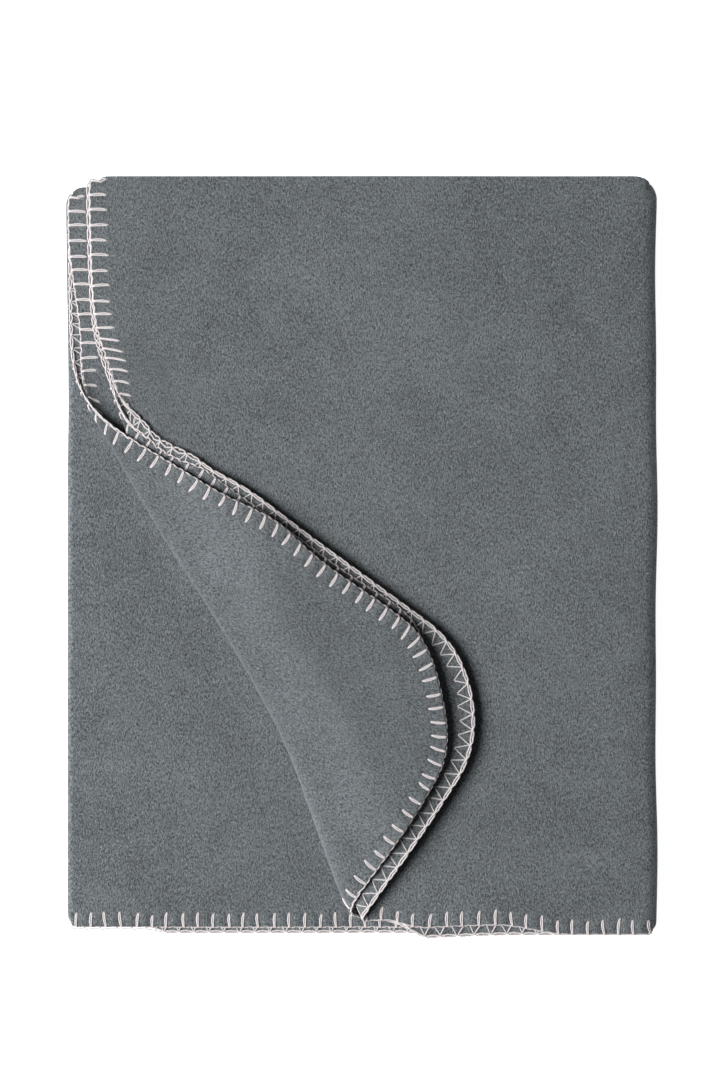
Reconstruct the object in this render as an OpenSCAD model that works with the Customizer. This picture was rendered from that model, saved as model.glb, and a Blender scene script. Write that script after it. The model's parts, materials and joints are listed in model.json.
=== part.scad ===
// Folded throw blanket: one fleece sheet with a blanket-stitched edge, folded to eight layers,
// with the lower left corner of its upper four layers turned back over a slanting crease.
// The sheet is folded once over the top edge into two plies, then twice from side to side.
// Layers are numbered from the top: 1 to 4 are the upper half, 5 to 8 the lower half.
// The origin is under the middle of the pack, on the surface that it rests on.

/* [Sheet] */
// Length of the fleece sheet before folding
sheet_length = 2000; // [1800:10:2200]
// Width of the fleece sheet before folding
sheet_width = 1300; // [1200:10:1400]
// Radius of the sheet's four rounded corners
corner_radius = 95; // [60:5:120]
// Thickness of one layer of fleece
fleece_t = 2.5; // [2:0.1:3.5]

/* [Folding] */
// Gap between neighbouring layers
layer_gap = 0.3; // [0.2:0.1:0.6]
// Gap between the upper and the lower half, inside the last fold
middle_gap = 1.3; // [0.8:0.1:3]
// Distance of the open edges of layers 1 and 2 from the left side
upper_inset = 25; // [10:1:60]
// Distance of the open edges of layers 3 and 4 from the left side
lower_inset = 4; // [3:1:20]
// How far the inner ply (layers 2, 3, 6 and 7) reaches below the outer ply
ply_step = 5; // [0:1:15]

/* [Turned corner] */
// Angle between the crease and the left side
crease_angle = 28.5; // [20:0.5:40]
// Distance of the crease from the middle of the pack, square to the crease
crease_offset = 140; // [100:5:180]
// Inner radius of the crease
crease_radius = 1; // [0.5:0.25:4]

/* [Stitching] */
// Width of the yarn chain that runs round the sheet's edge
chain_w = 2; // [1:0.5:3]

/* [Hidden] */
UPPER = [1:4];
LOWER = [5:8];
ALL_LAYERS = [1:8];
// Pairs of layers that one fold joins, outermost first
RIGHT_FOLDS = [[1, 8], [2, 7], [3, 6], [4, 5]];
LEFT_FOLDS = [[5, 8], [6, 7]];
UPPER_TOP_FOLDS = [[1, 2], [3, 4]];
LOWER_TOP_FOLDS = [[5, 6], [7, 8]];

function numbered(name, layers) = [for (k = layers) str(name, "_", k)];
function paired(name, pairs) = [for (p = pairs) str(name, "_", p[0], "_", p[1])];

FLEECE = [0.44, 0.46, 0.47];
YARN = [0.88, 0.86, 0.87];

pitch = fleece_t + layer_gap;
// Pieces that move past each other are cut back by this much at a hinge line
hinge_gap = 0.4;
// Larger than the whole pack, for the blocks that cut it
far = 2000;
// Points along a rounded corner
round_steps = 18;

// Mid-thickness radii of the folds
function right_radius(k) = middle_gap / 2 + (4 - k) * pitch + fleece_t / 2;
function left_radius(k) = layer_gap / 2 + (6 - k) * pitch + fleece_t / 2;
function crease_layer_radius(k) = crease_radius + (k - 1) * pitch + fleece_t / 2;
top_radius = pitch / 2;

right_reach = right_radius(1) + fleece_t / 2;
left_reach = left_radius(5) + fleece_t / 2;
top_reach = top_radius + fleece_t / 2;

// Radii of the middle of the double ply where it goes round the side folds
outer_ply_radius = (right_radius(1) + right_radius(2)) / 2;
inner_ply_radius = (right_radius(3) + right_radius(4)) / 2;
left_ply_radius = (left_radius(5) + left_radius(6)) / 2;

// The sheet's length is spent on four layers and on the three side folds between them
side_arcs = PI * (outer_ply_radius + inner_ply_radius + left_ply_radius);
folded_w = (sheet_length - side_arcs + 4 * right_reach + 2 * left_reach + upper_inset + lower_inset) / 4;
// Its width is spent on the two plies and on the fold over the top
ply_h = (sheet_width - ply_step - PI * top_radius) / 2;
folded_h = ply_h + ply_step + top_reach + chain_w;

right_x = folded_w / 2 - right_reach;
left_x = -folded_w / 2 + left_reach;
top_y = folded_h / 2 - top_reach;

function is_inner_ply(k) = k == 2 || k == 3 || k == 6 || k == 7;
function bottom_y(k) = top_y - ply_h - (is_inner_ply(k) ? ply_step : 0);
function open_x(k) = -folded_w / 2 + (k <= 2 ? upper_inset : lower_inset);
function layer_z(k) = (8 - k) * pitch + (k <= 4 ? middle_gap - layer_gap : 0);
function middle_z(k) = layer_z(k) + fleece_t / 2;

hinge_z = layer_z(4) - middle_gap / 2;
left_fold_z = layer_z(6) - layer_gap / 2;
crease_z = layer_z(1) + fleece_t + crease_radius;

// Outline of an upper layer with its rounded lower left corner, grown past its two open edges.
// It stops just short of the line where the right fold starts.
function open_outline(k, grow) =
    let (
        x = open_x(k),
        y = bottom_y(k),
        r = corner_radius,
        x_end = right_x - hinge_gap
    )
    concat(
        [for (i = [0:round_steps])
            let (a = 180 + 90 * i / round_steps)
            [x + r + (r + grow) * cos(a), y + r + (r + grow) * sin(a)]],
        [[x_end, y - grow], [x_end, top_y], [x - grow, top_y]]
    );

// Half of a pipe of mean radius r and wall fleece_t, bulging towards +X, along +Y from 0 to length
module half_roll(r, length) {
    rotate([-90, 0, 0])
        linear_extrude(length)
            half_ring(r);
}

module half_ring(r) {
    intersection() {
        difference() {
            circle(r + fleece_t / 2, $fn = 48);
            circle(r - fleece_t / 2, $fn = 48);
        }
        translate([0, -far / 2])
            square(far);
    }
}

// The same roll bent round a side fold of radius r, whose axis is the Y axis; +Y is outward
module bent_roll(r) {
    rotate([90, 0, 0])
        rotate([0, 0, -90])
            rotate_extrude(angle = 180, $fn = 64)
                translate([r, 0])
                    rotate([0, 0, -90])
                        half_ring(top_radius);
}

// Keeps what lies on the pack's side of the crease line
module inside_crease() {
    intersection() {
        children();
        rotate([0, 0, crease_angle])
            translate([-crease_offset, -far / 2, -far / 2])
                cube(far);
    }
}

// Turns the part of a flat layer k beyond the crease over to lie face down on the pack
module turned_over(k) {
    lift = crease_z + crease_layer_radius(k) - fleece_t / 2;
    take_up = PI * crease_layer_radius(k);
    intersection() {
        rotate([0, 0, crease_angle])
            translate([-crease_offset - take_up, 0, lift])
                mirror([1, 0, 0])
                    translate([crease_offset, 0, 0])
                        rotate([0, 0, -crease_angle])
                            children();
        rotate([0, 0, crease_angle])
            translate([-crease_offset + hinge_gap, -far / 2, 0])
                cube(far);
    }
}

module flat_layer(k) {
    linear_extrude(fleece_t)
        polygon(open_outline(k, 0));
}

module edge_chain(k) {
    linear_extrude(fleece_t)
        difference() {
            polygon(open_outline(k, chain_w));
            polygon(open_outline(k, 0));
        }
}

module upper_panel(k) {
    color(FLEECE)
        inside_crease()
            translate([0, 0, layer_z(k)])
                flat_layer(k);
}

module lower_panel(k) {
    color(FLEECE)
        translate([left_x, bottom_y(k), layer_z(k)])
            cube([right_x - left_x, top_y - bottom_y(k), fleece_t]);
}

module right_fold(k) {
    color(FLEECE)
        translate([right_x, bottom_y(k), hinge_z])
            half_roll(right_radius(k), top_y - bottom_y(k));
}

module left_fold(k) {
    color(FLEECE)
        translate([left_x, bottom_y(k), left_fold_z])
            mirror([1, 0, 0])
                half_roll(left_radius(k), top_y - bottom_y(k));
}

// The fold that joins layers k and k + 1 over the top, from x_start to x_end
module top_fold(k, x_start, x_end) {
    color(FLEECE)
        translate([x_start, top_y, (middle_z(k) + middle_z(k + 1)) / 2])
            rotate([0, 0, 90])
                mirror([0, 1, 0])
                    half_roll(top_radius, x_end - x_start);
}

module right_corner_roll(r) {
    color(FLEECE)
        translate([right_x, top_y, hinge_z])
            bent_roll(r);
}

module left_corner_roll() {
    color(FLEECE)
        translate([left_x, top_y, left_fold_z])
            mirror([1, 0, 0])
                bent_roll(left_ply_radius);
}

// Layer k going round the crease. Its ends slant, because both edges cross the crease at an angle.
module crease_fold(k) {
    r = crease_layer_radius(k);
    reach = r + fleece_t / 2;
    left_end = (-crease_offset * cos(crease_angle) - open_x(k)) / sin(crease_angle);
    low_end = (bottom_y(k) + crease_offset * sin(crease_angle)) / cos(crease_angle);
    color(FLEECE)
        rotate([0, 0, crease_angle])
            translate([-crease_offset, 0, crease_z])
                intersection() {
                    translate([0, low_end, 0])
                        mirror([1, 0, 0])
                            half_roll(r, left_end - low_end);
                    rotate([90, 0, -90])
                        linear_extrude(far, center = true)
                            polygon([
                                [-low_end, -reach],
                                [-left_end, -reach],
                                [-left_end + PI * r / tan(crease_angle), reach],
                                [-low_end - PI * r * tan(crease_angle), reach]
                            ]);
                }
}

module turned_corner(k) {
    color(FLEECE)
        turned_over(k)
            flat_layer(k);
}

module left_stitching(k) {
    color(YARN)
        inside_crease()
            intersection() {
                translate([0, 0, layer_z(k)])
                    edge_chain(k);
                translate([-far, 0, -far / 2])
                    cube(far);
            }
}

module bottom_stitching(k) {
    color(YARN)
        if (k <= 4)
            inside_crease()
                intersection() {
                    translate([0, 0, layer_z(k)])
                        edge_chain(k);
                    translate([-far / 2, -far, -far / 2])
                        cube(far);
                }
        else
            translate([left_x, bottom_y(k) - chain_w, layer_z(k)])
                cube([right_x - left_x, chain_w, fleece_t]);
}

module corner_stitching(k) {
    color(YARN)
        turned_over(k)
            edge_chain(k);
}

for (k = UPPER) {
    upper_panel(k);
    crease_fold(k);
    turned_corner(k);
    left_stitching(k);
    corner_stitching(k);
}
for (k = LOWER)
    lower_panel(k);
for (k = ALL_LAYERS)
    bottom_stitching(k);
for (p = RIGHT_FOLDS)
    right_fold(p[0]);
for (p = LEFT_FOLDS)
    left_fold(p[0]);
for (p = UPPER_TOP_FOLDS)
    top_fold(p[0], open_x(p[0]), right_x - hinge_gap);
for (p = LOWER_TOP_FOLDS)
    top_fold(p[0], left_x, right_x);
right_corner_roll(outer_ply_radius);  // outer_corner_roll
right_corner_roll(inner_ply_radius);  // inner_corner_roll
left_corner_roll();
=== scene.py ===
"""Folded fleece throw. The cloth is cut in the flat, and folding it is a formula: every point of the
cloth and of its yarn goes from the flat sheet to the folded pack by the same function, fold()."""
import json
import math

import bmesh
import bpy
import numpy as np
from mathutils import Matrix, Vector


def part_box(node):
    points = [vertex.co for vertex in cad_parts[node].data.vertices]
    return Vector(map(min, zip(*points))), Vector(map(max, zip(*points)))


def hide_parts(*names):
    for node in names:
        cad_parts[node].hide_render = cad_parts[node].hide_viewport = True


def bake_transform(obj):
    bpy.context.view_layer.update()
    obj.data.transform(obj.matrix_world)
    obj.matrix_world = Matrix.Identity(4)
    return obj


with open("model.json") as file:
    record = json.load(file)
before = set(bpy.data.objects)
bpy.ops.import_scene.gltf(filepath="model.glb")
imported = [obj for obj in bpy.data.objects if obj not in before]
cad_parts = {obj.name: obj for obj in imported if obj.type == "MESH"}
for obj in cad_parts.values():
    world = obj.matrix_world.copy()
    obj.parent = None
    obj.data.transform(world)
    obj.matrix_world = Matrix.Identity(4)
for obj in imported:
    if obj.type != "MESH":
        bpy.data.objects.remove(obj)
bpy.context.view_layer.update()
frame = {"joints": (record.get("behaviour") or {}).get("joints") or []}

MM = 0.001
PI = math.pi
UPPER = (1, 2, 3, 4)
ALL_LAYERS = range(1, 9)

# Places that come from the CAD frame
panel = {k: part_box(f"panel_{k}") for k in ALL_LAYERS}
middle_z = {k: (low.z + high.z) / 2 for k, (low, high) in panel.items()}
bottom_y = {k: low.y for k, (low, high) in panel.items()}
open_x = {k: panel[k][0].x for k in UPPER}
fleece_t = panel[8][1].z - panel[8][0].z
ply_half = (middle_z[1] - middle_z[2]) / 2
pair_z = {k: (middle_z[k] + middle_z[k + 1]) / 2 for k in (1, 3, 5, 7)}
right_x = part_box("right_fold_1_8")[0].x
left_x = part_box("left_fold_5_8")[1].x
top_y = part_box("top_fold_1_2")[0].y
pack_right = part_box("right_fold_1_8")[1].x
pack_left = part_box("left_fold_5_8")[0].x
pack_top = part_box("top_fold_1_2")[1].y
pack_z = panel[1][1].z
joints = {j["name"]: j for j in frame["joints"]}
hinge_z = joints["last_fold"]["pos_m"][2]
crease_pos = joints["corner_fold"]["pos_m"]
crease_z = crease_pos[2]

# The crease runs along crease_dir, and crease_out points from the pack's middle square to it
crease_dir = -np.array(joints["corner_fold"]["axis"][:2])
crease_out = np.array([-crease_dir[1], crease_dir[0]])
crease_at = crease_out @ np.array(crease_pos[:2])

# The flat sheet
CORNER_RADIUS = 95 * MM
outer_ply = top_y - bottom_y[1]
top_arc = PI * ply_half
sheet_w = 2 * top_y - bottom_y[1] - bottom_y[2] + top_arc

# Folding path of the double ply in the X-Z plane: (length, turn) of each straight or bend
right_bend = PI * (pair_z[1] - pair_z[7]) / 2
left_bend = PI * (pair_z[5] - pair_z[7]) / 2
inner_bend = PI * (pair_z[3] - pair_z[5]) / 2
FOLDING = (
    (right_x - open_x[1], 0),
    (right_bend, -PI),
    (right_x - left_x, 0),
    (left_bend, -PI),
    (right_x - left_x, 0),
    (inner_bend, PI),
    (right_x - open_x[3], 0),
)
path_marks = np.cumsum([0] + [length for length, _ in FOLDING])
sheet_l = path_marks[-1]
# The cloth is built in two lengths that meet under the pack, this far from the left fold
HIDDEN_SEAM = 30 * MM
seam_s = path_marks[3] - HIDDEN_SEAM

# Where the turned corner's own pieces begin, inside the crease
CORNER_SEAM = 22 * MM
# The crease is loose, and opens out more towards its upper end, from FLARE_FROM along it
FLARE = (8 * MM, 18 * MM)
FLARE_FROM = 60 * MM
FLARE_OVER = 140 * MM
# The turned layers are pressed down at the crease to this share of their height, and rise from there
PRESSED = 0.32
PRESSED_OVER = 65 * MM
# How far each layer's bottom edge runs up before it goes round the crease
EDGE_RISE = {1: 11 * MM, 2: 28 * MM, 3: 27 * MM, 4: 13 * MM}
RISE_OVER = 40 * MM
# How far each layer's open side edge is set in, lower down
SET_IN = {1: 0, 2: 0, 3: 9.5 * MM, 4: 0}
# How far each turned layer's side edge is swung round its corner, clockwise, in degrees
SWING = {1: 3.15, 2: 3.6, 3: 0.3, 4: 0.0}
SWING_OVER = 30 * MM
# Where a loose layer lies aside of where a plain turn puts it: (place, shift, reach), in mm
PULLS = {
    1: [
        ((-216, 138), (15, 12), 32),
        ((-186, 112), (5, 5), 20),
        ((-134, 84), (-3, -5), 24),
    ],
    2: [
        ((-212, 134), (14, 11), 32),
        ((-180, 94), (5, 8), 17),
        ((-120, 75), (-2.5, -3), 45),
        ((35, -52), (2.5, 3.5), 30),
        ((78, -112), (-18, -4), 36),
    ],
    3: [((76, -112), (-16, -5), 40)],
    4: [
        ((72, -116), (-13.5, -3), 41),
        ((-76, 26), (4.5, 6.5), 28),
    ],
}
# How far the crease lies inside its straight line at its lower end, below its middle and at its upper
# end, and the stretches along it over which it bows in and comes back
BOW = (-8 * MM, 15 * MM, 0)
BOW_IN = (-290 * MM, -80 * MM)
BOW_BACK = (-60 * MM, 220 * MM)
# The turned corner stands up loosely: (lift, extra lift for each layer) of its body and of its lower end
BODY_LIFT = (3 * MM, 1 * MM)
LOOSE_LIFT = (8 * MM, 0.4 * MM)
# Where that open lower end is, as (inward from, along) the crease, and how far it reaches
LOOSE_PLACE = (60 * MM, -230 * MM)
LOOSE_REACH = (95 * MM, 80 * MM)
# Layer 3's bottom edge keeps level towards the crease's upper end, and runs up over this stretch
RISE_3 = (60 * MM, -60 * MM)

# Softness of the pack: height of its unevenness, and how far its outer edges fall away, over what width
UNEVEN = 1.4 * MM
EDGE_FALL = 2.6 * MM
EDGE_FALL_OVER = 34 * MM
# How far the turned corner presses the lower half down along the crease, and over what width
PRESS = 2.5 * MM
PRESS_WIDTH = 24 * MM
# The lower pairs' top left corner is this much lower than the upper ones'
LOWER_CORNER = 9 * MM

# Stitching
STITCH_PITCH = 13.2 * MM
STITCH_DEPTH = 12 * MM
LEG_RADIUS = 0.65 * MM
THREAD_RADIUS = 0.58 * MM
YARN_HEIGHT = 1.05 * MM
YARN_SIDES = 6
EDGE_THICKNESS = 1.5 * MM
THICK_FROM = 11 * MM

rng = np.random.default_rng(8)


def outline_length():
    return 2 * (sheet_l + sheet_w) - 8 * CORNER_RADIUS + 2 * PI * CORNER_RADIUS


# Where each straight side begins, round the sheet's outline
SIDE_LENGTHS = [sheet_l - 2 * CORNER_RADIUS, sheet_w - 2 * CORNER_RADIUS] * 2
SIDE_STARTS = [sum(SIDE_LENGTHS[:i]) + i * PI * CORNER_RADIUS / 2 for i in range(4)]
stitch_count = round(outline_length() / STITCH_PITCH)
pitch = outline_length() / stitch_count


def ease(value, start, end):
    """0 where value is at start or before it, 1 at end or past it, and smooth between. End may be less."""
    t = np.clip((value - start) / (end - start), 0, 1)
    return t * t * (3 - 2 * t)


# ---------------------------------------------------------------- folding


def leg_at(x, z, heading, length, turn, d):
    """Place and heading at distance d along a straight or a bend that starts at x, z."""
    if not turn:
        return x + d * math.cos(heading), z + d * math.sin(heading), heading + 0 * d
    radius = length / turn
    angle = heading + d / radius
    px = x + radius * (np.sin(angle) - math.sin(heading))
    pz = z - radius * (np.cos(angle) - math.cos(heading))
    return px, pz, angle


def along_path(s):
    """Place and left-hand normal of the double ply's middle line at distance s, in the X-Z plane."""
    place, normal = np.zeros((2, *s.shape)), np.zeros((2, *s.shape))
    leg = np.clip(np.searchsorted(path_marks, s, side="right") - 1, 0, len(FOLDING) - 1)
    x, z, heading = open_x[1], pair_z[1], 0.0
    for i, (length, turn) in enumerate(FOLDING):
        here = leg == i
        px, pz, angle = leg_at(x, z, heading, length, turn, s[here] - path_marks[i])
        place[:, here] = px, pz
        normal[:, here] = -np.sin(angle), np.cos(angle)
        x, z, heading = leg_at(x, z, heading, length, turn, length)
    return place, normal


def across_ply(v, h):
    """Y, and distance from the double ply's middle, at v across the sheet and h out from the cloth."""
    over = np.clip((v - outer_ply) / top_arc, 0, 1) * PI
    radius = ply_half + h
    down = np.where(v < outer_ply, outer_ply - v, np.maximum(v - outer_ply - top_arc, 0))
    return top_y + radius * np.sin(over) - down, radius * np.cos(over)


def layer_of(s, v):
    """Number of the upper layer that a flat point belongs to, or 0 for the rest of the sheet."""
    outer = v < outer_ply + top_arc / 2
    layer = np.zeros(s.shape, int)
    layer[s < path_marks[1]] = 1
    layer[s > path_marks[6]] = 4
    layer[(layer == 1) & ~outer] = 2
    layer[(layer == 4) & ~outer] = 3
    return layer


def to_crease(x, y):
    """Distance out from the crease's own zero, and distance along the crease."""
    return x * crease_out[0] + y * crease_out[1], x * crease_dir[0] + y * crease_dir[1]


def from_crease(out, along):
    return (
        out * crease_out[0] + along * crease_dir[0],
        out * crease_out[1] + along * crease_dir[1],
    )


def bow(along):
    """How far the crease lies inside its straight line."""
    low, middle, high = BOW
    return low + (middle - low) * ease(along, *BOW_IN) + (high - middle) * ease(along, *BOW_BACK)


def flap_lift(k, inward, along):
    """How far turned layer k stands up: the corner lies loosely, and its lower end is an open roll."""
    body = BODY_LIFT[0] + k * BODY_LIFT[1]
    body = body * ease(inward, 4 * MM, 64 * MM) * ease(along, 190 * MM, 40 * MM)
    across_end = (inward - LOOSE_PLACE[0]) / LOOSE_REACH[0]
    along_end = (along - LOOSE_PLACE[1]) / LOOSE_REACH[1]
    loose_end = (LOOSE_LIFT[0] + k * LOOSE_LIFT[1]) * np.exp(-(across_end**2 + along_end**2) / 2)
    return (body**4 + loose_end**4) ** 0.25


def turn_over(k, x, y, z):
    """Layer k's flat points, carried round the crease where they lie beyond it."""
    roll = crease_z - middle_z[k]
    up = z - middle_z[k]
    near_edge = 1 - ease(x, open_x[k], open_x[k] + 150 * MM)
    x = x + SET_IN[k] * near_edge * ease(y, 290 * MM, 180 * MM)
    out, along = to_crease(x, y)
    lower_end = ease(along, *RISE_3) if k == 3 else 1
    y = y + EDGE_RISE[k] * lower_end * ease(out, crease_at - RISE_OVER, crease_at)
    out, along = to_crease(x, y)
    beyond = out - crease_at
    flare = FLARE[0] + (FLARE[1] - FLARE[0]) * ease(along, FLARE_FROM, FLARE_FROM + FLARE_OVER)
    turn_length = PI * roll + 2 * flare
    turn = PI * np.clip((beyond + flare) / turn_length, 0, 1)
    before = np.maximum(-beyond - flare, 0)
    after = np.maximum(beyond + flare - turn_length, 0)
    inward = flare - (roll + 2 * flare / PI - up) * np.sin(turn) + before + after
    rise = -(roll - up) * np.cos(turn)
    rise = np.where(rise > 0, rise * (PRESSED + (1 - PRESSED) * ease(inward, 0, PRESSED_OVER)), rise)
    inward = inward + bow(along) * (1 - ease(inward, 0, 100 * MM))
    z = crease_z + rise + flap_lift(k, inward, along) * (1 - np.cos(turn)) / 2
    x, y = from_crease(crease_at - inward, along)
    x, y = swing(k, x, y, after)
    for place, shift, reach in PULLS[k]:
        near = np.exp(-((x / MM - place[0]) ** 2 + (y / MM - place[1]) ** 2) / (2 * reach**2))
        x, y = x + shift[0] * MM * near, y + shift[1] * MM * near
    return x, y, z


def swing(k, x, y, after):
    """The turned part of layer k, swung a little round its corner."""
    corner_out, corner_along = to_crease(open_x[k], bottom_y[k] + EDGE_RISE[k])
    reach = corner_out - crease_at - PI * (crease_z - middle_z[k])
    corner_x, corner_y = from_crease(crease_at - reach, corner_along)
    dx, dy = x - corner_x, y - corner_y
    side_way = 2 * crease_dir[1] * crease_dir - np.array([0, 1])
    beside = ease(dx * side_way[0] + dy * side_way[1], 0, 60 * MM)
    angle = -math.radians(SWING[k]) * ease(after, 0, SWING_OVER) * beside
    return (
        corner_x + dx * np.cos(angle) - dy * np.sin(angle),
        corner_y + dx * np.sin(angle) + dy * np.cos(angle),
    )


def soft_corner(x, y, corner, toward, radius):
    """Rounds the pack's corner, by pulling the square within radius of it onto a quarter disc."""
    u = ((x - corner[0]) * toward[0] + radius) / radius
    v = ((y - corner[1]) * toward[1] + radius) / radius
    inside = (u > 0) & (v > 0)
    longest, diagonal = np.maximum(u, v), np.maximum(np.hypot(u, v), 1e-9)
    scale = np.where(inside, longest / diagonal, 1)
    x = np.where(inside, corner[0] + (u * scale - 1) * radius * toward[0], x)
    y = np.where(inside, corner[1] + (v * scale - 1) * radius * toward[1], y)
    return x, y


WAVES = [
    (rng.uniform(0.6, 1.0), rng.uniform(0, 2 * PI), rng.uniform(0, 2 * PI), size)
    for size in (310 * MM, 240 * MM, 170 * MM, 120 * MM, 95 * MM)
]


def ripple(x, y):
    """Gentle unevenness of a soft pack, between about -1 and 1."""
    total = 0
    for strength, direction, phase, size in WAVES:
        distance = x * math.cos(direction) + y * math.sin(direction)
        total = total + strength * np.sin(2 * PI * distance / size + phase)
    return total / len(WAVES)


def under_flap(x, y):
    """1 where the turned corner lies on the pack, falling to 0 beside its slanting edge."""
    inside_edge = -y - 0.65 * x - 20 * MM
    return ease(inside_edge, -60 * MM, -10 * MM) * ease(x, 160 * MM, 110 * MM)


def shift_top_edge(s, v, x, y, z):
    """The top layer's bottom edge wanders: up beside the turned corner, and down towards the right.
    At the far left the layers below layer 5 are drawn in under it."""
    outer = v < outer_ply + top_arc / 2
    share = 1 - ease(s, path_marks[1], path_marks[2] + 60 * MM)
    near_bottom = ease(y, bottom_y[1] + 140 * MM, bottom_y[1])
    shift = 4 * MM * ease(x, 5 * MM, 30 * MM) - 8.5 * MM * ease(x, 115 * MM, 180 * MM)
    y = y + np.where(outer & (z < pack_z + 1 * MM), shift * share * near_bottom, 0)
    below_5 = ease(z, middle_z[5] - 0.5 * MM, middle_z[5] - 2.5 * MM)
    far_left = 1 - ease(x, -190 * MM, -165 * MM)
    return y + 5.5 * MM * below_5 * far_left * ease(y, bottom_y[5] + 90 * MM, bottom_y[5])


def shape_ends(k, x, y):
    """Softens the pack's corners. The lower pairs' top left corner is lower and rounder."""
    lower_pairs = (k != 1) & (k != 2)
    to_left = ease(x, 40 * MM, left_x)
    to_top = ease(y, 60 * MM, pack_top)
    y = y - np.where(lower_pairs, LOWER_CORNER * to_left * to_top, 0)
    lean = ease(y, 130 * MM, pack_top) - 0.3
    x = x - np.where(lower_pairs, 2 * MM, 5 * MM) * lean * to_left * ease(y, 60 * MM, 130 * MM)
    x = x - np.where(k == 2, 2.4 * MM, 0) * to_left * ease(y, 100 * MM, 180 * MM)
    low_x, low_y = soft_corner(x, y, (pack_left, pack_top - LOWER_CORNER), (-1, 1), 15 * MM)
    high_x, high_y = soft_corner(x, y, (open_x[1], pack_top), (-1, 1), 11 * MM)
    x, y = np.where(lower_pairs, low_x, high_x), np.where(lower_pairs, low_y, high_y)
    x, y = soft_corner(x, y, (pack_left, bottom_y[5]), (-1, -1), 9 * MM)
    x, y = soft_corner(x, y, (pack_right, bottom_y[2]), (1, -1), 9 * MM)
    return soft_corner(x, y, (pack_right, pack_top), (1, 1), 21 * MM)


def settle(x, y, z):
    """Gentle unevenness of the upper half, less towards the last fold and none below it. The right side
    wavers a little, and the lower half is pressed down along the crease."""
    wave = np.sin(y / (52 * MM) + 0.6) + 0.6 * np.sin(y / (23 * MM))
    x = x + 0.7 * MM * wave * ease(x, right_x - 60 * MM, right_x)
    share = np.clip((z - hinge_z) / (pack_z - hinge_z), 0, 1)
    edge = np.minimum(np.minimum(pack_top - y, pack_right - x), x - pack_left + 20 * MM * (z > hinge_z))
    fall = EDGE_FALL * np.clip(1 - edge / EDGE_FALL_OVER, 0, 1) ** 2
    bumps = ripple(x, y) * UNEVEN * (1 - 0.85 * under_flap(x, y))
    out, _ = to_crease(x, y)
    press = PRESS * np.exp(-(((out - crease_at - 16 * MM) / PRESS_WIDTH) ** 2)) * (z < hinge_z)
    return x, y, z + share * (bumps - fall) - press * np.clip(z / hinge_z, 0, 1)


def fold(s, v, h):
    """Places of flat points (s along, v across the sheet, h out from its middle on the face side)."""
    (px, pz), (nx, nz) = along_path(s)
    y, out = across_ply(v, h)
    x, z = px + nx * out, pz + nz * out
    layer = layer_of(s, v)
    for k in UPPER:
        here = layer == k
        if here.any():
            x[here], y[here], z[here] = turn_over(k, x[here], y[here], z[here])
    y = shift_top_edge(s, v, x, y, z)
    x, y = shape_ends(layer, x, y)
    x, y, z = settle(x, y, z)
    return np.stack([x, y, z], axis=-1)


# ---------------------------------------------------------------- cloth


def graded(*marks):
    """Grid lines through (place, step from there on) marks."""
    lines = []
    for (start, step), (end, _) in zip(marks, marks[1:]):
        count = max(1, round((end - start) / step))
        lines += [start + (end - start) * i / count for i in range(count)]
    return np.array(lines + [marks[-1][0]])


def round_corners(s, v):
    """Pulls the flat sheet's square corners onto its rounded ones."""
    r = CORNER_RADIUS
    a = np.maximum(r - np.minimum(s, sheet_l - s), 0)
    b = np.maximum(r - np.minimum(v, sheet_w - v), 0)
    inside = (a > 0) & (b > 0)
    scale = np.where(inside, np.maximum(a, b) / np.maximum(np.hypot(a, b), 1e-9), 1)
    shift_s, shift_v = a * (1 - scale), b * (1 - scale)
    s = s + np.where(s < sheet_l / 2, shift_s, -shift_s)
    v = v + np.where(v < sheet_w / 2, shift_v, -shift_v)
    return s, v


def edge_distance(s, v):
    """Distance of flat points from the sheet's edge."""
    r = CORNER_RADIUS
    from_s, from_v = np.minimum(s, sheet_l - s), np.minimum(v, sheet_w - v)
    in_corner = (from_s < r) & (from_v < r)
    return np.where(in_corner, r - np.hypot(r - from_s, r - from_v), np.minimum(from_s, from_v))


def outline_place(s, v):
    """Distance round the sheet's outline of the place that is nearest to a flat point."""
    r = CORNER_RADIUS
    from_edges = np.stack([v, sheet_l - s, sheet_w - v, s])
    side = from_edges.argmin(axis=0)
    along = np.choose(side, [s - r, v - r, sheet_l - r - s, sheet_w - r - v])
    length = np.choose(side, [sheet_l - 2 * r, sheet_w - 2 * r] * 2)
    turned = np.maximum(along - length, 0) - np.maximum(-along, 0)
    angle = np.arctan2(turned, np.maximum(r - from_edges.min(axis=0), 1e-9))
    return np.choose(side, SIDE_STARTS) + np.clip(along, 0, length) + r * angle


def seam_line(k, inside):
    """(point, normal) in the flat sheet of the line that is inside the crease by that much, in layer k.
    The normal points to the sheet's corner."""
    s_way = 1 if k <= 2 else -1
    v_way = 1 if k in (1, 4) else -1
    s_zero = 0 if k <= 2 else sheet_l
    v_zero = 0 if k in (1, 4) else sheet_w
    start = (crease_at - inside - crease_out[1] * bottom_y[k]) / crease_out[0]
    point = (s_zero + s_way * (start - open_x[k]), v_zero, 0)
    return point, (crease_out[0] * s_way, crease_out[1] * v_way, 0)


def flat_grid(s_lines, v_lines):
    """A flat mesh of quads with a vertex at every crossing of the lines, corners rounded."""
    s, v = np.meshgrid(s_lines, v_lines, indexing="ij")
    s, v = round_corners(s, v)
    rows, columns = s.shape
    flat = bmesh.new()
    points = [flat.verts.new((a, b, 0)) for a, b in zip(s.ravel(), v.ravel())]
    for i in range(rows - 1):
        for j in range(columns - 1):
            at = i * columns + j
            flat.faces.new(points[n] for n in (at, at + columns, at + columns + 1, at + 1))
    return flat


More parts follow.
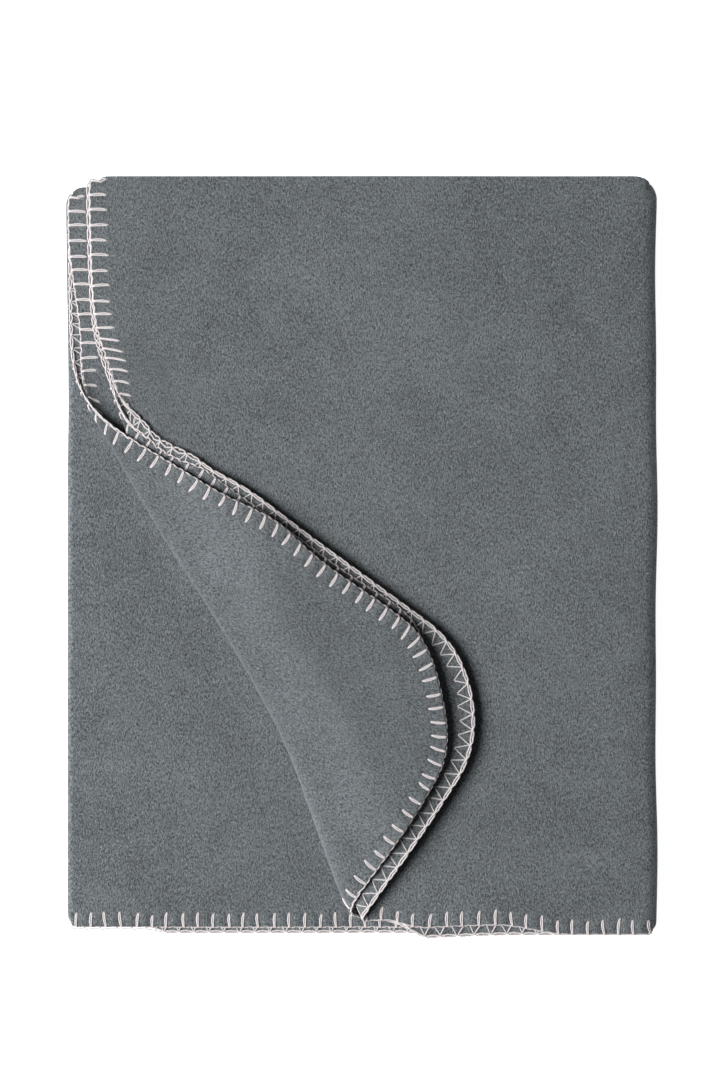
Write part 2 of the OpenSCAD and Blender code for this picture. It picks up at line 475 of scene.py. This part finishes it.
def cut(flat, point, normal, drop_outer=False, drop_inner=False):
    bmesh.ops.bisect_plane(
        flat,
        geom=[*flat.verts, *flat.edges, *flat.faces],
        dist=1e-6,
        plane_co=point,
        plane_no=normal,
        clear_outer=drop_outer,
        clear_inner=drop_inner,
    )


def new_object(name, verts, polygons, uv, material):
    """A smooth mesh from numpy points, polygons of vertex numbers, and a flat place for each vertex."""
    mesh = bpy.data.meshes.new(name)
    mesh.from_pydata(verts.tolist(), [], polygons)
    mesh.shade_smooth()
    mesh.set_sharp_from_angle(angle=math.radians(55))
    corners = np.zeros(len(mesh.loops), np.int32)
    mesh.loops.foreach_get("vertex_index", corners)
    layer = mesh.uv_layers.new(name="flat")
    layer.data.foreach_set("uv", uv[corners].astype(np.float32).ravel())
    mesh.materials.append(material)
    obj = bpy.data.objects.new(name, mesh)
    bpy.context.scene.collection.objects.link(obj)
    return obj


def cloth_piece(name, flat, material):
    """The flat mesh given its thickness, closed round its rim, and folded. Also gives its flat area."""
    flat.verts.index_update()
    area = sum(face.calc_area() for face in flat.faces)
    s, v = np.array([p.co[:2] for p in flat.verts]).T
    full = ease(edge_distance(s, v), 0, THICK_FROM)
    thickness = EDGE_THICKNESS + (fleece_t - EDGE_THICKNESS) * full
    count = len(s)
    verts = np.concatenate([fold(s, v, thickness / 2), fold(s, v, -thickness / 2)])
    faces = [[p.index for p in face.verts] for face in flat.faces]
    polygons = faces + [[n + count for n in reversed(face)] for face in faces]
    for edge in flat.edges:
        if edge.is_boundary:
            loop = edge.link_loops[0]
            a, b = loop.vert.index, loop.link_loop_next.vert.index
            polygons.append([b, a, a + count, b + count])
    flat.free()
    uv = np.tile(np.stack([s, v], axis=-1), (2, 1))
    obj = new_object(name, verts, polygons, uv, material)
    edge = np.stack([outline_place(s, v), edge_distance(s, v), 0 * s], axis=-1)
    places = obj.data.attributes.new("edge", "FLOAT_VECTOR", "POINT")
    places.data.foreach_set("vector", np.tile(edge, (2, 1)).astype(np.float32).ravel())
    return obj, area


# Steps between the grid's lines: over flat cloth, beside a bend, and as (place, step from there) at edges
FLAT_STEP = 8 * MM
BESIDE_BEND_STEP = 2 * MM
EDGE_LINES = ((0, 0.7 * MM), (1.4 * MM, 1.8 * MM), (14 * MM, FLAT_STEP))
# The pack's corners are round this far beside a bend
BESIDE_BEND = 16 * MM


def mirrored(length):
    """EDGE_LINES seen from the far edge of a sheet of that length."""
    steps = [step for _, step in EDGE_LINES]
    ends = [length - place for place, _ in reversed(EDGE_LINES)]
    return list(zip(ends, [*reversed(steps[:-1]), steps[0]]))


def round_bend(start, end, step):
    """Lines for a bend, with closer ones on both sides of it where the pack's corners are round."""
    return (
        (start - BESIDE_BEND, BESIDE_BEND_STEP),
        (start, step),
        (end, BESIDE_BEND_STEP),
        (end + BESIDE_BEND, FLAT_STEP),
    )


ACROSS = graded(
    *EDGE_LINES,
    (CORNER_RADIUS, FLAT_STEP),
    *round_bend(outer_ply, outer_ply + top_arc, 0.45 * MM),
    (sheet_w - CORNER_RADIUS, FLAT_STEP),
    *mirrored(sheet_w),
)
ALONG = {
    "outer_wrap": graded(
        *EDGE_LINES,
        (CORNER_RADIUS, FLAT_STEP),
        *round_bend(path_marks[1], path_marks[2], 1.4 * MM),
        (seam_s, FLAT_STEP),
    ),
    "inner_wrap": graded(
        (seam_s, FLAT_STEP),
        *round_bend(path_marks[3], path_marks[4], 0.6 * MM),
        *round_bend(path_marks[5], path_marks[6], 0.7 * MM),
        (sheet_l - CORNER_RADIUS, FLAT_STEP),
        *mirrored(sheet_l),
    ),
}
WRAP_LAYERS = {"outer_wrap": (1, 2), "inner_wrap": (3, 4)}
# A turned corner is cut from a stretch of the sheet this long, with this many lines round its roll
CORNER_STRETCH = 420 * MM
ROLL_LINES = 24


def wrap_cloth(name, material):
    flat = flat_grid(ALONG[name], ACROSS)
    for k in WRAP_LAYERS[name]:
        cut(flat, *seam_line(k, CORNER_SEAM), drop_outer=True)
    return cloth_piece(name, flat, material)


def corner_cloth(k, material):
    s_lines = ALONG["outer_wrap"] if k <= 2 else ALONG["inner_wrap"]
    near = s_lines < CORNER_STRETCH if k <= 2 else s_lines > sheet_l - CORNER_STRETCH
    v_lines = ACROSS[ACROSS < outer_ply] if k in (1, 4) else ACROSS[ACROSS > sheet_w - outer_ply]
    flat = flat_grid(s_lines[near], v_lines)
    cut(flat, *seam_line(k, CORNER_SEAM), drop_inner=True)
    roll_length = PI * (crease_z - middle_z[k])
    for beyond in np.linspace(-FLARE[1], roll_length + FLARE[1], ROLL_LINES):
        cut(flat, *seam_line(k, -beyond))
    return cloth_piece(f"turned_corner_cloth_{k}", flat, material)


# ---------------------------------------------------------------- stitching


def edge_point(u, e):
    """Flat place at distance u round the sheet's outline and e in from its edge."""
    r, l, w = CORNER_RADIUS, sheet_l, sheet_w
    starts = ((r, 0), (l, r), (l - r, w), (0, w - r))
    u = np.mod(u, outline_length())
    s, v = np.zeros(u.shape), np.zeros(u.shape)
    for quarter, ((s0, v0), begin) in enumerate(zip(starts, SIDE_STARTS)):
        length = (l, w)[quarter % 2] - 2 * r
        heading = quarter * PI / 2
        ahead, inward = (math.cos(heading), math.sin(heading)), (-math.sin(heading), math.cos(heading))
        here = (u >= begin) & (u <= begin + length)
        d = u[here] - begin
        s[here] = s0 + ahead[0] * d + inward[0] * e[here]
        v[here] = v0 + ahead[1] * d + inward[1] * e[here]
        here = (u > begin + length) & (u <= begin + length + PI * r / 2)
        angle = heading - PI / 2 + (u[here] - begin - length) / r
        s[here] = s0 + ahead[0] * length + inward[0] * r + (r - e[here]) * np.cos(angle)
        v[here] = v0 + ahead[1] * length + inward[1] * r + (r - e[here]) * np.sin(angle)
    return s, v


# A strand's curve: how many samples it has before it is smoothed, and over how many on each side
CURVE_SAMPLES = 160
CURVE_SOFTNESS = 7


def through(points, count):
    """count places along a smooth curve through the given (u, e, h, radius) points, given in mm."""
    points = np.array(points, float) * MM
    gaps = np.linalg.norm(np.diff(points, axis=0), axis=1)
    at = np.concatenate([[0], np.cumsum(gaps)]) / gaps.sum()
    fine = np.linspace(0, 1, CURVE_SAMPLES)
    line = np.stack([np.interp(fine, at, c) for c in points.T], axis=-1)
    first, last = np.repeat(line[:1], CURVE_SOFTNESS, 0), np.repeat(line[-1:], CURVE_SOFTNESS, 0)
    padded = np.concatenate([first, line, last])
    kernel = np.hanning(2 * CURVE_SOFTNESS + 1)
    kernel = kernel / kernel.sum()
    soft = np.stack([np.convolve(c, kernel, "valid") for c in padded.T], axis=-1)
    picked = np.linspace(0, len(soft) - 1, count).round().astype(int)
    return soft[picked]


def stitch_strands():
    """One blanket stitch as strands of (u, e, h, radius) points, with its knot at the origin. Each half
    comes up the back in a slant, through the cloth, and down the face beside the other half. A thread of
    each half also runs along the edge to the next knot, and the two cross on the way."""
    half, deep = pitch / 2 / MM, STITCH_DEPTH / MM
    face, thick = YARN_HEIGHT / MM, LEG_RADIUS / MM
    back, thin = -face, THREAD_RADIUS / MM
    strands = []
    for side in (-1, 1):
        strands.append(through([
            (side * half, 0.2, back, thin),
            (side * half * 0.55, deep * 0.5, back, thin),
            (side * 0.3, deep - 0.3, back, thin),
            (side * 0.1, deep + 0.3, 0, thin),
            (side * 0.25, deep - 0.3, face, thin),
            (side * 0.6 - 0.4, deep * 0.78, face, thick),
            (side * 0.75 - 0.6, deep * 0.5, face, thick),
            (side * 0.6 - 0.4, deep * 0.22, face, thick * 0.9),
            (side * 0.45, 0.1, face, thin),
            (side * 0.4, -0.8, face * 0.5, thin),
            (side * 0.35, -0.8, -0.4, thin),
            (side * 0.3, 0.1, back, thin),
        ], 26))
        strands.append(through([
            (-0.8, 0.3 + side * 1.1, back, thin * 1.1),
            (half * 0.5, -0.1 + side * 0.9, back, thin * 1.25),
            (half, 0.1 - side * 0.2, back + side * 0.5, thin * 1.35),
            (half * 1.5, -0.1 - side * 0.9, back, thin * 1.25),
            (half * 2 + 0.8, 0.3 - side * 0.9, back, thin * 1.1),
        ], 12))
    return strands


def tubes(lines, radii):
    """Closed tubes along lines, an array (tube, place, xyz), with a radius for each place. Gives
    vertices, polygons and uv."""
    count, steps, _ = lines.shape
    tangent = np.gradient(lines, axis=1)
    tangent /= np.maximum(np.linalg.norm(tangent, axis=2, keepdims=True), 1e-12)
    side = np.cross(tangent[:, 0], [0.31, 0.52, 0.79])
    rings = []
    for i in range(steps):
        side = side - (side * tangent[:, i]).sum(1, keepdims=True) * tangent[:, i]
        side /= np.linalg.norm(side, axis=1, keepdims=True)
        up = np.cross(tangent[:, i], side)
        turn = 2 * PI * np.arange(YARN_SIDES) / YARN_SIDES
        ring = side[:, None] * np.cos(turn)[:, None] + up[:, None] * np.sin(turn)[:, None]
        rings.append(lines[:, i, None] + radii[i] * ring)
    verts = np.stack(rings, axis=1).reshape(-1, 3)
    one = []
    for i in range(steps - 1):
        for j in range(YARN_SIDES):
            a, b = i * YARN_SIDES + j, i * YARN_SIDES + (j + 1) % YARN_SIDES
            one.append((a, b, b + YARN_SIDES, a + YARN_SIDES))
    first = tuple(reversed(range(YARN_SIDES)))
    last = tuple((steps - 1) * YARN_SIDES + j for j in range(YARN_SIDES))
    per_tube = steps * YARN_SIDES
    polygons = [
        tuple(n + t * per_tube for n in polygon)
        for t in range(count)
        for polygon in [*one, first, last]
    ]
    length = np.cumsum(np.linalg.norm(np.diff(lines, axis=1), axis=2), axis=1)
    length = np.concatenate([np.zeros((count, 1)), length], axis=1)
    around = np.arange(YARN_SIDES) / YARN_SIDES
    uv = np.stack(
        [
            np.repeat(length[:, :, None], YARN_SIDES, axis=2),
            np.broadcast_to(around, (count, steps, YARN_SIDES)),
        ],
        axis=-1,
    ).reshape(-1, 2)
    return verts, polygons, uv


def yarn_piece(name, knots, material):
    """All the strands of the stitches whose knots are at the given distances round the outline."""
    parts = []
    _, v = edge_point(knots, np.zeros(len(knots)))
    high_up = ease(np.minimum(v, sheet_w - v), 330 * MM, 450 * MM)
    lean = rng.normal(0, 0.8 * MM, len(knots))
    longer = rng.normal(1, 0.06, len(knots)) * (1 + 0.2 * high_up)
    knots = knots + rng.normal(0, 0.5 * MM, len(knots))
    for strand in stitch_strands():
        inner = np.clip(strand[:, 1] / STITCH_DEPTH, 0, 1)
        u = knots[:, None] + strand[:, 0] + lean[:, None] * inner
        e = strand[:, 1] * np.where(strand[:, 1] > 0, longer[:, None], 1)
        h = np.broadcast_to(strand[:, 2], u.shape)
        s, v = edge_point(u.ravel(), e.ravel())
        places = fold(s, v, h.ravel()).reshape(*u.shape, 3)
        places[:, :, 2] = np.maximum(places[:, :, 2], LEG_RADIUS)
        parts.append(tubes(places, strand[:, 3]))
    verts, polygons, uvs, start = [], [], [], 0
    for v, p, uv in parts:
        verts.append(v)
        uvs.append(uv)
        polygons += [tuple(n + start for n in polygon) for polygon in p]
        start += len(v)
    return new_object(name, np.concatenate(verts), polygons, np.concatenate(uvs), material)


def piece_of(u):
    """Which cloth piece the stitch at u belongs to: an upper layer's turned corner, or a wrap."""
    s, v = edge_point(u, np.full(u.shape, STITCH_DEPTH / 2))
    owner = np.where(s < seam_s, "outer_wrap", "inner_wrap").astype(object)
    layer = layer_of(s, v)
    for k in UPPER:
        point, normal = seam_line(k, CORNER_SEAM)
        beyond = (s - point[0]) * normal[0] + (v - point[1]) * normal[1] > 0
        owner[(layer == k) & beyond] = k
    return owner


# ---------------------------------------------------------------- materials


def srgb(r, g, b):
    def linear(c):
        c = c / 255
        return c / 12.92 if c <= 0.04045 else ((c + 0.055) / 1.055) ** 2.4

    return (linear(r), linear(g), linear(b), 1)


def add(tree, kind, sockets=(), **settings):
    """A shader node with its settings, and its sockets set to values or linked to other sockets."""
    node = tree.nodes.new(kind)
    for name, value in settings.items():
        setattr(node, name, value)
    for name, value in dict(sockets).items():
        if isinstance(value, bpy.types.NodeSocket):
            tree.links.new(value, node.inputs[name])
        else:
            node.inputs[name].default_value = value
    return node


def new_material(name):
    material = bpy.data.materials.new(name)
    material.use_nodes = True
    tree = material.node_tree
    tree.nodes.clear()
    output = tree.nodes.new("ShaderNodeOutputMaterial")
    shader = tree.nodes.new("ShaderNodeBsdfPrincipled")
    tree.links.new(shader.outputs["BSDF"], output.inputs["Surface"])
    return material, tree, shader


def noise(tree, vector, scale, detail, roughness=0.5, distortion=0.0):
    return add(
        tree,
        "ShaderNodeTexNoise",
        {
            "Vector": vector,
            "Scale": scale,
            "Detail": detail,
            "Roughness": roughness,
            "Distortion": distortion,
        },
    ).outputs["Fac"]


def ramp(tree, value, low, high):
    return add(
        tree,
        "ShaderNodeMapRange",
        {"Value": value, "From Min": low[0], "From Max": high[0], "To Min": low[1], "To Max": high[1]},
    ).outputs["Result"]


def maths(tree, operation, a, b):
    node = add(tree, "ShaderNodeMath", operation=operation)
    for socket, value in zip(node.inputs, (a, b)):
        if isinstance(value, bpy.types.NodeSocket):
            tree.links.new(value, socket)
        else:
            socket.default_value = value
    return node.outputs[0]


def mix(tree, level, low, high):
    """A colour between low and high. The node's colour sockets come after its number sockets."""
    node = add(tree, "ShaderNodeMix", data_type="RGBA")
    tree.links.new(level, node.inputs[0])
    node.inputs[6].default_value = low
    node.inputs[7].default_value = high
    return node.outputs[2]


FLEECE_DARK = srgb(58, 61, 63)
FLEECE_LIGHT = srgb(118, 123, 126)
# The yarn's dark end shows in the grooves between its twisted strands, as painted shade, and in its fuzz.
YARN_DARK = srgb(122, 116, 117)
YARN_LIGHT = srgb(205, 198, 198)
TWIST_LENGTH = 2.6 * MM


def stitch_grooves(tree):
    """The dent that each stitch presses into the cloth, as a height for the bump."""
    edge = add(tree, "ShaderNodeAttribute", attribute_name="edge").outputs["Vector"]
    parts = add(tree, "ShaderNodeSeparateXYZ", {"Vector": edge})
    wave = maths(tree, "COSINE", maths(tree, "MULTIPLY", parts.outputs["X"], 2 * PI / pitch), 0)
    dent = ramp(tree, wave, (-0.8, 0), (1, 0.5))
    band = ramp(tree, parts.outputs["Y"], (10 * MM, 1), (15 * MM, 0))
    return maths(tree, "MULTIPLY", dent, band)


def fleece_material():
    """Brushed slate-grey fleece: a short nap lying in streaks, mottled where it is brushed about."""
    material, tree, shader = new_material("fleece")
    flat = add(tree, "ShaderNodeUVMap", uv_map="flat").outputs["UV"]
    lying = add(
        tree,
        "ShaderNodeMapping",
        {"Vector": flat, "Rotation": (0, 0, math.radians(12)), "Scale": (1.0, 0.42, 1.0)},
    ).outputs["Vector"]
    streaks = noise(tree, lying, 1050, 3, 0.65, 0.8)
    tufts = noise(tree, flat, 640, 4, 0.7, 0.9)
    patches = noise(tree, flat, 26, 4, 0.6, 0.8)
    drifts = noise(tree, flat, 6, 2, 0.5, 0.3)
    nap = maths(tree, "ADD", maths(tree, "MULTIPLY", streaks, 0.6), maths(tree, "MULTIPLY", tufts, 0.4))
    shade = ramp(tree, nap, (0.3, -1.2), (0.7, 1.2))
    mottle = ramp(tree, patches, (0.3, -0.09), (0.7, 0.09))
    drift = ramp(tree, drifts, (0.3, -0.06), (0.7, 0.06))
    level = maths(tree, "ADD", maths(tree, "ADD", shade, mottle), maths(tree, "ADD", drift, 0.5))
    colour = mix(tree, level, FLEECE_DARK, FLEECE_LIGHT)
    tree.links.new(colour, shader.inputs["Base Color"])
    height = maths(tree, "ADD", nap, maths(tree, "MULTIPLY", patches, 0.5))
    height = maths(tree, "SUBTRACT", height, stitch_grooves(tree))
    bump = add(tree, "ShaderNodeBump", {"Height": height, "Strength": 1.0, "Distance": 3 * MM})
    tree.links.new(bump.outputs["Normal"], shader.inputs["Normal"])
    shader.inputs["Roughness"].default_value = 0.95
    shader.inputs["Specular IOR Level"].default_value = 0.12
    shader.inputs["Sheen Weight"].default_value = 0.35
    shader.inputs["Sheen Roughness"].default_value = 0.45
    shader.inputs["Sheen Tint"].default_value = srgb(190, 197, 202)
    return material


def yarn_material():
    """Pale two-strand yarn, twisted slantwise round each strand, with a little fuzz. Its colour is painted
    darker in the grooves between the strands, as painted shade, and the same pattern dents the bump.
    """
    material, tree, shader = new_material("yarn")
    flat = add(tree, "ShaderNodeUVMap", uv_map="flat").outputs["UV"]
    parts = add(tree, "ShaderNodeSeparateXYZ", {"Vector": flat})
    along = maths(tree, "MULTIPLY", parts.outputs["X"], 2 * PI / TWIST_LENGTH)
    around = maths(tree, "MULTIPLY", parts.outputs["Y"], 2 * PI)
    slant = maths(tree, "ADD", along, around)
    # Dark in the grooves between the twisted strands and light on their crowns: painted shade in the
    # colour, and relief in the bump.
    twist_relief_and_shade = maths(tree, "ABSOLUTE", maths(tree, "SINE", slant, 0), 0)
    place = add(tree, "ShaderNodeTexCoord").outputs["Object"]
    fuzz = noise(tree, place, 900, 3, 0.6)
    level = maths(tree, "ADD", maths(tree, "MULTIPLY", twist_relief_and_shade, 0.55), maths(tree, "MULTIPLY", fuzz, 0.6))
    colour = mix(tree, level, YARN_DARK, YARN_LIGHT)
    tree.links.new(colour, shader.inputs["Base Color"])
    bump = add(tree, "ShaderNodeBump", {"Height": level, "Strength": 0.6, "Distance": 0.5 * MM})
    tree.links.new(bump.outputs["Normal"], shader.inputs["Normal"])
    shader.inputs["Roughness"].default_value = 0.85
    shader.inputs["Sheen Weight"].default_value = 0.2
    return material


# ---------------------------------------------------------------- the object

fleece = fleece_material()
yarn = yarn_material()


def numbered(name, layers):
    return [f"{name}_{k}" for k in layers]


STANDS_FOR = {
    "outer_wrap": [
        *numbered("panel", (1, 2, 7, 8)), "right_fold_1_8", "right_fold_2_7",
        "top_fold_1_2", "top_fold_7_8", "outer_corner_roll",
    ],
    "inner_wrap": [
        *numbered("panel", (3, 4, 5, 6)), "right_fold_3_6", "right_fold_4_5",
        "left_fold_5_8", "left_fold_6_7", "top_fold_3_4", "top_fold_5_6",
        "inner_corner_roll", "left_corner_roll",
    ],
}
YARN_STANDS_FOR = {
    "outer_wrap": [*numbered("left_stitching", (1, 2)), *numbered("bottom_stitching", (1, 2, 7, 8))],
    "inner_wrap": [*numbered("left_stitching", (3, 4)), *numbered("bottom_stitching", (3, 4, 5, 6))],
}

knots = pitch * np.arange(stitch_count)
owners = piece_of(knots)


def bend_with_wrap(obj):
    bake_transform(obj)


def bend_with_corner(obj):
    """Bakes the object's transform into its mesh."""
    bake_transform(obj)


for name in ("outer_wrap", "inner_wrap"):
    cloth, area = wrap_cloth(name, fleece)
    stitching = yarn_piece(f"{name}_stitching", knots[owners == name], yarn)
    for obj, slot in ((cloth, "fleece"), (stitching, "yarn")):
        bend_with_wrap(obj)
    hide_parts(*STANDS_FOR[name])
    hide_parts(*YARN_STANDS_FOR[name])

for k in UPPER:
    cloth, area = corner_cloth(k, fleece)
    stitching = yarn_piece(f"turned_corner_stitching_{k}", knots[owners == k], yarn)
    bend_with_corner(cloth)
    bend_with_corner(stitching)
    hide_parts(f"crease_fold_{k}", f"turned_corner_{k}")
    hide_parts(f"corner_stitching_{k}")

# ---------------------------------------------------------------- floor, light, camera


def floor():
    mesh = bpy.data.meshes.new("floor")
    size = 6.0
    corners = [(-size, -size, 0), (size, -size, 0), (size, size, 0), (-size, size, 0)]
    mesh.from_pydata(corners, [], [(0, 1, 2, 3)])
    obj = bpy.data.objects.new("floor", mesh)
    bpy.context.scene.collection.objects.link(obj)
    material, _, shader = new_material("white_floor")
    shader.inputs["Base Color"].default_value = (0.9, 0.9, 0.9, 1)
    shader.inputs["Emission Color"].default_value = (1, 1, 1, 1)
    shader.inputs["Emission Strength"].default_value = 0.9
    shader.inputs["Roughness"].default_value = 0.9
    shader.inputs["Specular IOR Level"].default_value = 0.0
    mesh.materials.append(material)


def aim(obj, place, target):
    obj.location = place
    obj.rotation_euler = (Vector(target) - Vector(place)).to_track_quat("-Z", "Y").to_euler()


def area_light(name, place, size, watts):
    light = bpy.data.lights.new(name, "AREA")
    light.shape = "DISK"
    light.size = size
    light.energy = watts
    obj = bpy.data.objects.new(name, light)
    bpy.context.scene.collection.objects.link(obj)
    aim(obj, place, (0, 0, 0))


def sky(strength):
    world = bpy.data.worlds.new("studio")
    world.use_nodes = True
    background = world.node_tree.nodes["Background"]
    background.inputs["Color"].default_value = (1, 1, 1, 1)
    background.inputs["Strength"].default_value = strength
    bpy.context.scene.world = world


VIEW_HEIGHT = 928.8 * MM
CAMERA_DISTANCE = 2.3
CAMERA_ASIDE = (-1.3 * MM, 13.8 * MM)
SENSOR_LONG_SIDE = 36


def camera():
    data = bpy.data.cameras.new("camera")
    data.sensor_width = SENSOR_LONG_SIDE
    data.lens = SENSOR_LONG_SIDE * CAMERA_DISTANCE / VIEW_HEIGHT
    obj = bpy.data.objects.new("camera", data)
    bpy.context.scene.collection.objects.link(obj)
    obj.location = (*CAMERA_ASIDE, pack_z + CAMERA_DISTANCE)
    bpy.context.scene.camera = obj


floor()
area_light("key", (-3.5, -0.35, 3.3), 3.2, 610)
sky(0.1)
camera()
bpy.context.scene.view_settings.view_transform = "Standard"
